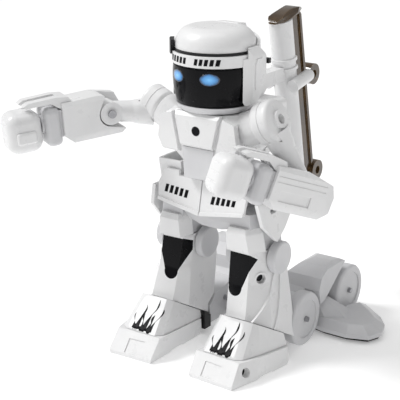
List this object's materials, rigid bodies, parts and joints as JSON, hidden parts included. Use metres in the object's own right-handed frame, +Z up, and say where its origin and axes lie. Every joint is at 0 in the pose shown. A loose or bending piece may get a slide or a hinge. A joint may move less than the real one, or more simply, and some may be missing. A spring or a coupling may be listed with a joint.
{
  "type": "humanoid robot kit",
  "caption": "Standing humanoid toy robot with visored helmet, jointed punching arms, flared legs, rolling wheeled tail and an upright back staff.",
  "frame": {"origin": "centre of the kit's bounding box, on the floor it stands on", "axes": "+X towards the robot's own left hand, -Y the way it faces, +Z up"},
  "size_m": [0.2197, 0.2482, 0.2382],
  "materials": {
    "white_shell": "smooth semi-gloss moulded plastic",
    "pale_grey": "semi-gloss moulded plastic, a shade greyer than the shells",
    "gloss_black": "high gloss",
    "black_plastic": "fine satin",
    "eye_glow": "translucent blue lens lit from behind",
    "smoked_blade": "smoked translucent plastic, glossy",
    "steel": "plain",
    "black_screw": "blackened screws",
    "motor_can": "satin",
    "circuit_green": "solder mask",
    "cell_wrap": "plastic sleeve"
  },
  "bodies": {
    "base": {"pelvis_block": "pale_grey", "front_skirts": "white_shell", "side_skirts": "white_shell", "rear_skirt": "white_shell", "hip_boxes": "white_shell", "thighs": "pale_grey", "knee_guards": "white_shell", "shin_insets": "gloss_black", "shin_shells": "white_shell", "knee_discs": "pale_grey", "toe_blocks": "white_shell", "leg_screws": "black_screw", "instep_shells": "white_shell", "ankle_blocks": "black_plastic", "drive_motors": "motor_can", "wheel_axles": "steel", "fenders": "pale_grey", "side_fins": "pale_grey", "fin_skids": "black_plastic", "tail_housing": "pale_grey"},
    "torso": {"chest_badge": "white_shell", "abdomen_plate": "pale_grey", "torso_screws": "black_screw", "neck_post": "black_plastic", "waist_post": "black_plastic", "arm_motors": "motor_can", "control_board": "circuit_green", "backpack_shell": "white_shell", "battery_lid": "white_shell", "battery_cells": "cell_wrap", "chest_front": "white_shell", "chest_back": "white_shell", "staff_column": "white_shell", "staff_blade": "smoked_blade"},
    "switch": {"power_switch": "black_plastic"},
    "head": {"visor": "gloss_black", "eye_lenses": "eye_glow", "brow_band": "white_shell", "helmet_crown": "white_shell", "helmet_shell": "white_shell", "head_trim": "black_plastic", "ear_blocks": "white_shell", "jaw_ring": "pale_grey", "lamp_board": "circuit_green"},
    "left_arm": {"left_shoulder_hub": "white_shell", "left_upper_arm": "white_shell"},
    "left_forearm": {"left_forearm": "white_shell", "left_elbow_pin": "steel", "left_wrist_collar": "pale_grey"},
    "left_hand": {"left_fist": "white_shell"},
    "left_front_wheel": {"left_front_wheel": "pale_grey"},
    "left_rear_wheel": {"left_rear_wheel": "pale_grey"},
    "right_arm": {"right_shoulder_hub": "white_shell", "right_upper_arm": "white_shell"},
    "right_forearm": {"right_forearm": "white_shell", "right_elbow_pin": "steel", "right_wrist_collar": "pale_grey"},
    "right_hand": {"right_fist": "white_shell"},
    "right_front_wheel": {"right_front_wheel": "pale_grey"},
    "right_rear_wheel": {"right_rear_wheel": "pale_grey"}
  },
  "joints": [
    {"name": "waist_turn", "type": "hinge", "parent": "base", "child": "torso", "pos_m": [0.0093, -0.0165, 0.13], "axis": [0, 0, 1], "range_deg": [-10, 10]},
    {"name": "head_turn", "type": "hinge", "parent": "torso", "child": "head", "pos_m": [0.0093, -0.0245, 0.186], "axis": [0, 0, 1], "range_deg": [-35, 35]},
    {"name": "left_shoulder_swing", "type": "hinge", "parent": "torso", "child": "left_arm", "pos_m": [0.0571, -0.029, 0.1775], "axis": [0.9205, 0, 0.3907], "range_deg": [-35, 2]},
    {"name": "left_elbow_bend", "type": "hinge", "parent": "left_arm", "child": "left_forearm", "pos_m": [0.0813, -0.0185, 0.13], "axis": [0.8736, -0.4867, 0], "range_deg": [0, 6]},
    {"name": "left_fist_turn", "type": "hinge", "parent": "left_forearm", "child": "left_hand", "pos_m": [0.0813, -0.0185, 0.13], "axis": [-0.4582, -0.8224, 0.3372], "range_deg": [-25, 25]},
    {"name": "right_shoulder_swing", "type": "hinge", "parent": "torso", "child": "right_arm", "pos_m": [-0.0385, -0.029, 0.1775], "axis": [0.9205, 0, -0.3907], "range_deg": [-20, 25]},
    {"name": "right_elbow_bend", "type": "hinge", "parent": "right_arm", "child": "right_forearm", "pos_m": [-0.0647, -0.055, 0.174], "axis": [0.8701, -0.4929, 0], "range_deg": [-50, 0]},
    {"name": "right_fist_turn", "type": "hinge", "parent": "right_forearm", "child": "right_hand", "pos_m": [-0.0647, -0.055, 0.174], "axis": [-0.4904, -0.8657, -0.1001], "range_deg": [-25, 25]},
    {"name": "left_front_wheel_spin", "type": "hinge", "parent": "base", "child": "left_front_wheel", "pos_m": [0.0615, 0.0125, 0.0204], "axis": [1, 0, 0], "continuous": true},
    {"name": "left_rear_wheel_spin", "type": "hinge", "parent": "base", "child": "left_rear_wheel", "pos_m": [0.0615, 0.0795, 0.0204], "axis": [1, 0, 0], "continuous": true},
    {"name": "right_front_wheel_spin", "type": "hinge", "parent": "base", "child": "right_front_wheel", "pos_m": [-0.0429, 0.0125, 0.0204], "axis": [1, 0, 0], "continuous": true},
    {"name": "right_rear_wheel_spin", "type": "hinge", "parent": "base", "child": "right_rear_wheel", "pos_m": [-0.0429, 0.0795, 0.0204], "axis": [1, 0, 0], "continuous": true},
    {"name": "power_switch_slide", "type": "slide", "parent": "torso", "child": "switch", "axis": [0, 1, 0], "range_m": [0, 0.0045]}
  ]
}
